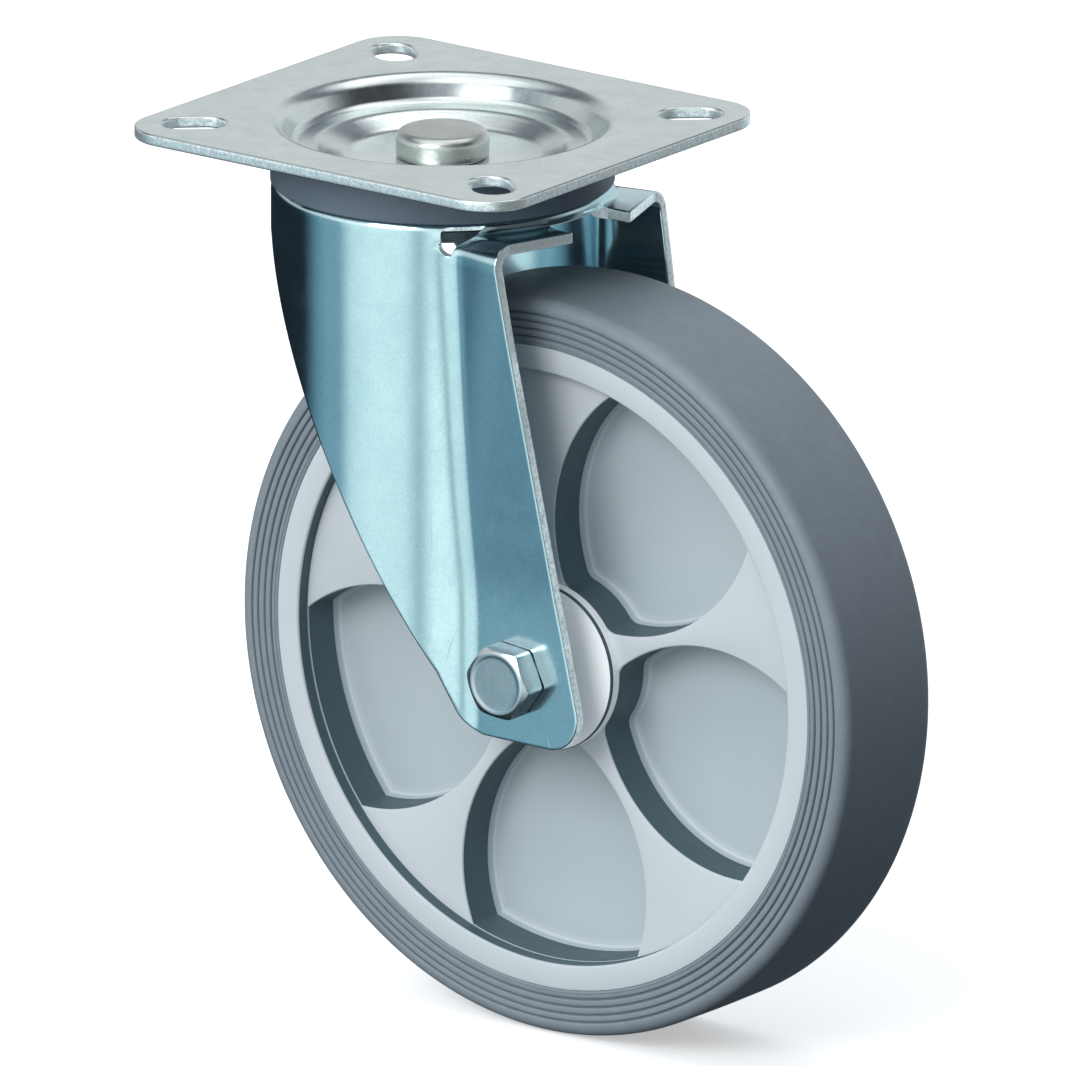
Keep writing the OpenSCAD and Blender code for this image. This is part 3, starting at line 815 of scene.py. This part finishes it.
def bolt():
    b = Build()
    n = 120
    y0, h = -31.5, 7.5
    top = y0 - h
    cone = lambda r: top + max(0.0, r - 8.35) * math.tan(math.radians(30))
    rows = hex_rings(b, 18.0, -6.0, [(8.1, top, 0), (8.35, top + 0.03, 0), (8.7, cone, 0), (9.0, cone, 0), (9.4, cone, 0), (9.8, cone, 0), (None, cone, 0.08),
                                     (None, lambda r: cone(r) + 0.25, 0.0), (None, y0 - 3.0, 0.0), (None, y0 - 1.0, 0.0), (None, lambda r: y0 - 0.35 - max(0.0, r - 9.5) * 0.25, 0.0), (8.75, y0 - 0.35, 0), (8.7, y0, 0)])
    # slightly hollow plain face
    inner = []
    t = np.radians([-6 + 360 * i / n for i in range(n)])
    for r, d in ((7.7, 0.0), (7.35, 0.10), (7.1, 0.16), (6.4, 0.16), (5.6, 0.16), (3.0, 0.17)):
        y = np.full(n, top + d)
        inner.append(b.add(np.stack([AX + r * np.cos(t), y, AZ + r * np.sin(t)], 1)))
    c = b.add([(AX, top + 0.17, AZ)])
    for j in range(n):
        b.face((c[0], inner[-1][j], inner[-1][(j + 1) % n]), 0)
    seq = inner[::-1] + rows
    for i in range(len(seq) - 1):
        b.quads(seq[i], seq[i + 1], True, 0)
    # shank to the far end with a chamfered tip
    sh = [(6.0, y0), (6.0, 30.0), (6.0, 41.5)]
    sh2 = []
    z = 41.6
    while z < 43.4:                                 # a few thread crests past the nut
        sh2 += [(6.0, z), (5.5, z + 0.45)]
        z += 0.9
    sh2 += [(5.6, 43.6), (4.8, 44.7), (0.0, 44.7)]
    prof = sh + sh2
    r0 = b.add(ring_y(6.0, y0, n))
    tt = [b.add(ring_y(r, y, n)) if r > 0 else None for r, y in prof[1:]]
    # join the underside of the head to the shank
    ring_under = rows[-1]
    b.quads(ring_under, b.add(np.stack([AX + 6.0 * np.cos(t), np.full(n, y0), AZ + 6.0 * np.sin(t)], 1)), True, 0)
    prev = b.add(np.stack([AX + 6.0 * np.cos(t), np.full(n, y0), AZ + 6.0 * np.sin(t)], 1))
    for r, y in prof[1:]:
        if r <= 0:
            c = b.add([(AX, y, AZ)])
            for j in range(n):
                b.face((c[0], prev[j], prev[(j + 1) % n]), 0)
            break
        cur = b.add(np.stack([AX + r * np.cos(t), np.full(n, y), AZ + r * np.sin(t)], 1))
        b.quads(prev, cur, True, 0)
        prev = cur
    return b.object("hex_bolt", "fork_body", [M_BOLT], ["axle_bolt"], 30.0)


bolt()


def nut():
    b = Build()
    y0 = 31.5
    n = 120
    cone = lambda r: y0 + 9.3 - max(0.0, r - 8.6) * math.tan(math.radians(30))
    low = lambda r: y0 + max(0.0, r - 8.9) * math.tan(math.radians(25))
    rows = hex_rings(b, 18.0, 14.0, [(6.02, y0, 0), (8.6, y0, 0), (8.9, y0, 0), (9.3, low, 0), (None, low, 0.1), (None, lambda r: low(r) + 0.25, 0), (None, y0 + 4, 0), (None, lambda r: cone(r) - 0.25, 0),
                                     (None, cone, 0.1), (9.2, cone, 0), (8.8, cone, 0), (8.1, y0 + 9.35, 0), (8.0, y0 + 9.7, 0), (8.0, y0 + 11.2, 0), (7.8, y0 + 11.7, 0), (7.4, y0 + 12.0, 0), (6.95, y0 + 11.95, 0),
                                     (6.9, y0 + 11.4, 0), (7.0, y0 + 8.6, 0), (6.02, y0 + 8.6, 0)])
    for i in range(len(rows) - 1):
        b.quads(rows[i], rows[i + 1], True, 0)
    b.quads(rows[-1], rows[0], True, 0)
    return b.object("lock_nut", "fork_body", [M_BOLT], ["axle_nut"], 30.0)


nut()

# ------------------------------------------------------------------ wheel centre
def petal_loop(d, ang, m=(26, 9, 30, 9, 26, 9, 12, 9)):
    """Outline of one pocket moved in by d, in the wheel plane, counter-clockwise."""
    R, ro, ri, rc, rr = 45.6 - d, 80.2 - max(d, 0.0), 22.3 + d, 4.5 - d, 0.35
    c1, c2 = (59.2, 15.5), (59.2, -15.5)

    def meet(ca, ra, cb, rb, pick):
        dx, dy = cb[0] - ca[0], cb[1] - ca[1]
        D = math.hypot(dx, dy)
        a = (ra * ra - rb * rb + D * D) / (2 * D)
        h = math.sqrt(max(0, ra * ra - a * a))
        px, py = ca[0] + a * dx / D, ca[1] + a * dy / D
        s = [(px - h * dy / D, py + h * dx / D), (px + h * dy / D, py - h * dx / D)]
        return max(s, key=pick)
    # circle c1 bounds the lower side (v < 0), circle c2 the upper side
    O = (0.0, 0.0)
    fo_low = meet(c1, R - rr, O, ro - rr, lambda p: -p[1])
    fo_up = (fo_low[0], -fo_low[1])
    fi_low = meet(c1, R - rc, O, ri + rc, lambda p: -p[1])
    fi_up = (fi_low[0], -fi_low[1])

    def ang_of(c, p):
        return math.degrees(math.atan2(p[1] - c[1], p[0] - c[0]))

    def seg(c, r, a0, a1, n):
        return [(c[0] + r * math.cos(math.radians(a0 + (a1 - a0) * i / n)), c[1] + r * math.sin(math.radians(a0 + (a1 - a0) * i / n))) for i in range(n)]
    pts = []
    # lower side from hub to rim, on circle c1
    a0, a1 = ang_of(c1, fi_low), ang_of(c1, fo_low)
    a0 = a0 if a0 < 0 else a0 - 360
    a1 = a1 if a1 < 0 else a1 - 360
    pts += seg(c1, R, a0, a1, m[0])
    # rim corner, low
    b0, b1 = a1, ang_of(O, fo_low)
    pts += seg(fo_low, rr, b0, b1, m[1])
    # rim arc
    pts += seg(O, ro, b1, -b1, m[2])
    pts += seg(fo_up, rr, -b1, -b0, m[3])
    pts += seg(c2, R, -a1, -a0, m[4])
    # hub corner, up: from the side's normal round to the hub
    g0, g1 = -a0, ang_of(O, fi_up) + 180
    pts += seg(fi_up, rc, g0, g1, m[5])
    h0 = ang_of(O, fi_up)
    pts += seg(O, ri, h0, -h0, m[6])
    pts += seg(fi_low, rc, 180 - h0, 360 + a0, m[7])
    p = np.array(pts)
    ca, sa = math.cos(math.radians(ang)), math.sin(math.radians(ang))
    return np.stack([p[:, 0] * ca - p[:, 1] * sa, p[:, 0] * sa + p[:, 1] * ca], 1)


def wheel_centre():
    b = Build()
    n = 360
    edge = [(-0.45, 15.0), (-0.22, 14.94), (-0.06, 14.78), (0.0, 14.5)]
    wall = [(0.12, 11.0), (0.26, 7.0), (0.40, 4.6)]
    foot = [(0.40 + 2.5 * (1 - math.cos(math.radians(a))), 4.5 - 2.5 * math.sin(math.radians(a))) for a in (18, 36, 54, 72, 90)]
    prof = edge + wall + foot
    out_r = None
    for s in (1, -1):
        def at(P, w):
            return np.stack([AX + P[:, 0], np.full(len(P), s * w), AZ + P[:, 1]], 1)
        # rim lip and inner wall
        rim = [(87.2, 18.6), (87.05, 18.9), (86.7, 19.0), (81.2, 19.0), (80.85, 18.92), (80.6, 18.7), (80.5, 18.35), (80.48, 17.0), (80.46, 15.5), (80.42, 15.18), (80.25, 15.0)]
        rows = [b.add(ring_y(r, s * w, n)) for r, w in rim]
        for i in range(len(rows) - 1):
            # the rim's inner wall (rows 6 to 9) takes the painted-shade material
            b.quads(rows[i], rows[i + 1], True, 1 if 6 <= i <= 9 else 0)
        if s == 1:
            out_r = rows[0]
        else:
            chain = [(87.2, 16.0), (84.6, 14.0), (84.6, 5.0), (86.8, 3.4), (86.8, -3.4), (84.6, -5.0), (84.6, -14.0), (87.2, -16.0)]
            prev = out_r
            for r, w in chain:
                cur = b.add(ring_y(r, w, n))
                b.quads(prev, cur, True, 0)
                prev = cur
            b.quads(prev, rows[0], True, 0)
        # flat face between rim, pockets and hub
        t = np.arange(n) * 2 * PI / n
        outer = np.stack([80.25 * np.cos(t), 80.25 * np.sin(t)], 1)
        tb = np.arange(96) * 2 * PI / 96
        inner = np.stack([14 * np.cos(tb), 14 * np.sin(tb)], 1)
        loops = [outer, inner]
        pockets = [petal_loop(-0.45, 55 + 72 * k) for k in range(5)]
        loops += pockets
        pts = np.concatenate(loops)
        sg, st = [], 0
        for l in loops:
            sg += [(st + i, st + (i + 1) % len(l)) for i in range(len(l))]
            st += len(l)
        vo, _, fo, orig, _, _ = delaunay_2d_cdt([Vector(q) for q in pts], sg, [], 1, 1e-6)
        V = np.array([(q.x, q.y) for q in vo])
        tri = np.array([list(f) for f in fo])
        cen = V[tri].mean(1)
        ok = np.hypot(cen[:, 0], cen[:, 1]) > 14
        for l in pockets:
            ok &= ~inside(cen, l)
        idx = b.add(at(V, 15.0))
        for f in tri[ok]:
            b.face([idx[i] for i in f], 0)
        if s == 1:
            bore = b.add(at(inner, 15.0))
        else:
            b.quads(bore, b.add(at(inner, 15.0)), True, 0)
        for k in range(5):
            prev = None
            for i, (d, w) in enumerate(prof):
                cur = b.add(at(petal_loop(d, 55 + 72 * k), w))
                if prev is not None:
                    # pocket walls take the painted-shade material, the foot and floor the darker painted-shade floor
                    # material; one band in the foot (i == 9) keeps the plain colour, a painted highlight line
                    b.quads(prev, cur, True, 0 if i < 4 else 1 if i <= 6 else 0 if i == 9 else 2)
                prev = cur
            b.face(prev, 2)
    return b.object("wheel_body_moulding", "wheel_body", [M_WHEEL, M_PAINTED_SHADE, M_POCKET_FLOOR_SHADE], ["wheel_centre"], 35.0, 3e-6)


wheel_centre()


def hub_caps():
    b = Build()
    for s in (1, -1):
        p = [(10.6, 15.0), (10.6, 18.0), (10.7, 18.35), (11.1, 18.6), (21.9, 18.6), (22.25, 18.5), (22.45, 18.25), (22.5, 17.9), (22.5, 17.4), (22.5, 15.0)]
        # painted shade: a dark band round the cap's outer edge (segments 5 to 7) takes the painted-shade material
        lathe(b, [(r, s * w) for r, w in p], 200, ring_y, True, [0, 0, 0, 0, 0, 1, 1, 1, 0, 0])
    return b.object("hub_cap_pair", "wheel_body", [M_CAP, M_PAINTED_SHADE], ["hub_caps"], 35.0)


hub_caps()


def tyre():
    b = Build()
    side = [(87.2, 18.6), (87.35, 18.9), (87.6, 19.0), (87.9, 19.0), (88.0, 18.8), (88.15, 18.8), (88.25, 19.0)]
    for g in (89.5, 91.6, 93.7, 95.7):
        side += [(g - 0.62, 19.0), (g - 0.40, 18.95), (g - 0.27, 18.75), (g - 0.18, 18.1), (g + 0.18, 18.1), (g + 0.27, 18.75), (g + 0.40, 18.95), (g + 0.62, 18.99)]
    side += arc(96.45, 15.6, 3.4, 86, 8, 12)
    side += [(99.86, 13.0), (99.9, 10.0), (99.95, 6.0), (99.99, 2.0)]
    inner = [(86.8, 3.4), (84.6, 5.0), (84.6, 14.0), (87.2, 16.0)]
    side = [(min(r, 99.99), w) for r, w in side]
    prof = [(r, -w) for r, w in inner[::1]] + [(r, -w) for r, w in side] + [(r, w) for r, w in side[::-1]] + [(r, w) for r, w in inner[::-1]]
    lathe(b, prof, 420, ring_y)
    return b.object("tyre_tread", "wheel_body", [M_TYRE], ["tyre"], 50.0)


tyre()

# ------------------------------------------------------------------ CAD nodes that stay, with their finish
keep = {"lower_race_cup": M_RACE, "upper_balls": M_BALL, "upper_cage": M_CAGE, "lower_balls": M_BALL, "lower_cage": M_CAGE,
        "nut_insert": M_INSERT, "axle_sleeve": M_BOLT, "inner_spacer": M_BOLT, "end_bushes": M_BOLT,
        "near_inner_ring": M_RACE, "far_inner_ring": M_RACE, "near_outer_ring": M_RACE, "far_outer_ring": M_RACE,
        "near_balls": M_BALL, "far_balls": M_BALL, "near_cage": M_CAGE, "far_cage": M_CAGE,
        "near_shields": M_SHIELD, "far_shields": M_SHIELD}
for name, mat in keep.items():
    o = frame["nodes"][name]
    o.data.materials.clear()
    o.data.materials.append(mat)

# ------------------------------------------------------------------ camera, floor, light
def camera():
    az, el = math.radians(37.323), math.radians(16.384)
    back = Vector((math.sin(az) * math.cos(el), -math.cos(az) * math.cos(el), math.sin(el)))
    cam = bpy.data.cameras.new("camera")
    cam.sensor_width = 36.0
    cam.lens = 36.0 * 45785.2 / 1066.0
    cam.clip_start, cam.clip_end = 1.0, 60.0
    o = bpy.data.objects.new("camera", cam)
    o.rotation_mode = "QUATERNION"
    o.rotation_quaternion = (-back).to_track_quat("-Z", "Y")
    o.location = Vector((0.02978, 0, -0.107893)) + back * 12.0
    bpy.context.scene.collection.objects.link(o)
    bpy.context.scene.camera = o


camera()

floor_me = bpy.data.meshes.new("floor")
floor_me.from_pydata([(-4, -4, -0.2371), (4, -4, -0.2371), (4, 4, -0.2371), (-4, 4, -0.2371)], [], [(0, 1, 2, 3)])
fm, fnt, fbs, _ = new_mat("floor_paint")
fbs.inputs["Base Color"].default_value = (0.93, 0.94, 0.945, 1)
fbs.inputs["Roughness"].default_value = 0.8
fbs.inputs["Emission Color"].default_value = (1.0, 1.0, 1.0, 1)
fbs.inputs["Emission Strength"].default_value = 0.42
floor_me.materials.append(fm)
floor = bpy.data.objects.new("floor", floor_me)
bpy.context.scene.collection.objects.link(floor)
floor.visible_glossy = False
floor.visible_diffuse = False
floor.visible_shadow = False


def area(name, loc, target, size, power, colour=(1, 1, 1)):
    l = bpy.data.lights.new(name, "AREA")
    l.shape = "RECTANGLE"
    l.size, l.size_y = size
    l.energy = power
    l.color = colour
    o = bpy.data.objects.new(name, l)
    o.location = loc
    d = Vector(target) - Vector(loc)
    o.rotation_mode = "QUATERNION"
    o.rotation_quaternion = d.to_track_quat("-Z", "Y")
    bpy.context.scene.collection.objects.link(o)
    return o


area("key_front", (0.08, -1.55, 0.80), (0.03, 0, -0.11), (0.9, 0.9), 14)
area("top_soft", (0.1, 0.2, 1.5), (0.03, 0, -0.10), (1.6, 1.6), 6)


def world():
    w = bpy.data.worlds.new("studio")
    bpy.context.scene.world = w
    w.use_nodes = True
    nt = w.node_tree
    bg = nt.nodes["Background"]
    tc = nt.nodes.new("ShaderNodeTexCoord")
    sep = nt.nodes.new("ShaderNodeSeparateXYZ")
    nt.links.new(tc.outputs["Generated"], sep.inputs[0])
    neg = node(nt, "ShaderNodeMath", operation="MULTIPLY"); neg.inputs[1].default_value = -1
    nt.links.new(sep.outputs["Y"], neg.inputs[0])
    at = node(nt, "ShaderNodeMath", operation="ARCTAN2")        # 0 towards -Y, positive towards +X
    nt.links.new(sep.outputs["X"], at.inputs[0]); nt.links.new(neg.outputs[0], at.inputs[1])
    f = remap(nt, at.outputs[0], -PI, PI, 0.0, 1.0)

    def p(deg):
        return (deg + 180) / 360
    g = lambda v: (v * 0.97, v, v * 1.02)
    # what upright faces mirror lies below the horizon
    low = ramp(nt, f, [(0.0, (0.66, 0.78, 0.81)), (p(-156), (0.58, 0.70, 0.74)), (p(-147), (0.012, 0.018, 0.028)), (p(-69), (0.012, 0.020, 0.028)), (p(-63), (0.07, 0.14, 0.19)),
                       (p(-57), (0.17, 0.31, 0.38)), (p(-47), (0.28, 0.45, 0.53)), (p(-36), (0.24, 0.41, 0.49)), (p(-27), (0.85, 1.00, 1.03)), (p(-10), (1.02, 1.14, 1.14)), (p(12), (1.00, 1.12, 1.12)), (p(22), (0.46, 0.60, 0.65)),
                       (p(31), (1.18, 1.28, 1.25)), (p(45), (1.18, 1.28, 1.25)), (p(55), (0.20, 0.36, 0.44)), (p(62), (0.025, 0.035, 0.045)), (p(134), (0.03, 0.035, 0.04)), (p(142), (0.30, 0.33, 0.34)), (p(158), (0.30, 0.33, 0.34)), (p(168), (0.66, 0.78, 0.81))])
    deep = ramp(nt, remap(nt, sep.outputs["Z"], -0.60, -0.31, 0.0, 1.0), [(0.0, (0.05, 0.06, 0.07)), (0.27, (0.14, 0.16, 0.18)), (0.41, (0.50, 0.58, 0.64)), (0.69, (0.50, 0.58, 0.64)), (1.0, (1.0, 1.0, 1.0))])
    low = mixc(nt, 1.0, low, deep, "MULTIPLY")
    side = ramp(nt, f, [(0.0, g(0.78)), (p(-142), g(0.78)), (p(-100), g(0.55)), (p(-60), g(0.80)), (p(-30), g(1.25)), (p(25), g(1.25)), (p(48), g(0.70)), (p(75), g(0.12)),
                        (p(112), g(0.10)), (p(138), g(0.70)), (1.0, g(0.78))])
    over = ramp(nt, remap(nt, sep.outputs["Z"], 0.0, 1.0, 0.0, 1.0), [(0.0, (1.0, 1.0, 1.0)), (0.42, (1.0, 1.0, 1.0)), (0.54, (0.22, 0.24, 0.28)), (0.70, (0.26, 0.28, 0.32)), (0.80, (1.25, 1.25, 1.25)), (0.91, (1.25, 1.25, 1.25)), (0.955, (0.58, 0.60, 0.61)), (1.0, (0.58, 0.60, 0.61))])
    high = mixc(nt, 1.0, side, over, "MULTIPLY")
    mirror = mixc(nt, remap(nt, sep.outputs["Z"], 0.03, 0.17, 0.0, 1.0), low, high)
    # what lights the matt parts: bright front left, dark right
    soft = ramp(nt, f, [(0.0, (1.05, 1.08, 1.10)), (p(-130), (1.00, 1.03, 1.05)), (p(-110), (0.60, 0.64, 0.66)), (p(-60), (0.85, 0.88, 0.90)), (p(-20), (1.15, 1.16, 1.17)), (p(22), (1.05, 1.06, 1.07)), (p(45), (0.58, 0.63, 0.67)),
                        (p(72), (0.03, 0.05, 0.08)), (p(136), (0.02, 0.035, 0.06)), (p(150), (0.85, 0.88, 0.90)), (1.0, (1.05, 1.08, 1.10))])
    dome = ramp(nt, remap(nt, sep.outputs["Z"], -1.0, 1.0, 0.0, 1.0), [(0.0, (0.04, 0.05, 0.06)), (0.28, (0.16, 0.17, 0.19)), (0.43, (0.85, 0.85, 0.85)), (0.5, (1.0, 1.0, 1.0)), (0.7, (1.0, 1.0, 1.0)), (1.0, (0.75, 0.77, 0.80))])
    matt = mixc(nt, 1.0, soft, dome, "MULTIPLY")
    lp = nt.nodes.new("ShaderNodeLightPath")
    white = node(nt, "ShaderNodeRGB"); white.outputs[0].default_value = (1.0, 1.0, 1.0, 1)
    col = mixc(nt, lp.outputs["Is Glossy Ray"], matt, mirror)
    out = mixc(nt, lp.outputs["Is Camera Ray"], col, white.outputs[0])
    nt.links.new(out, bg.inputs["Color"])
    bg.inputs["Strength"].default_value = 1.0


world()
bpy.context.scene.view_settings.view_transform = "Standard"
bpy.context.scene.view_settings.look = "None"
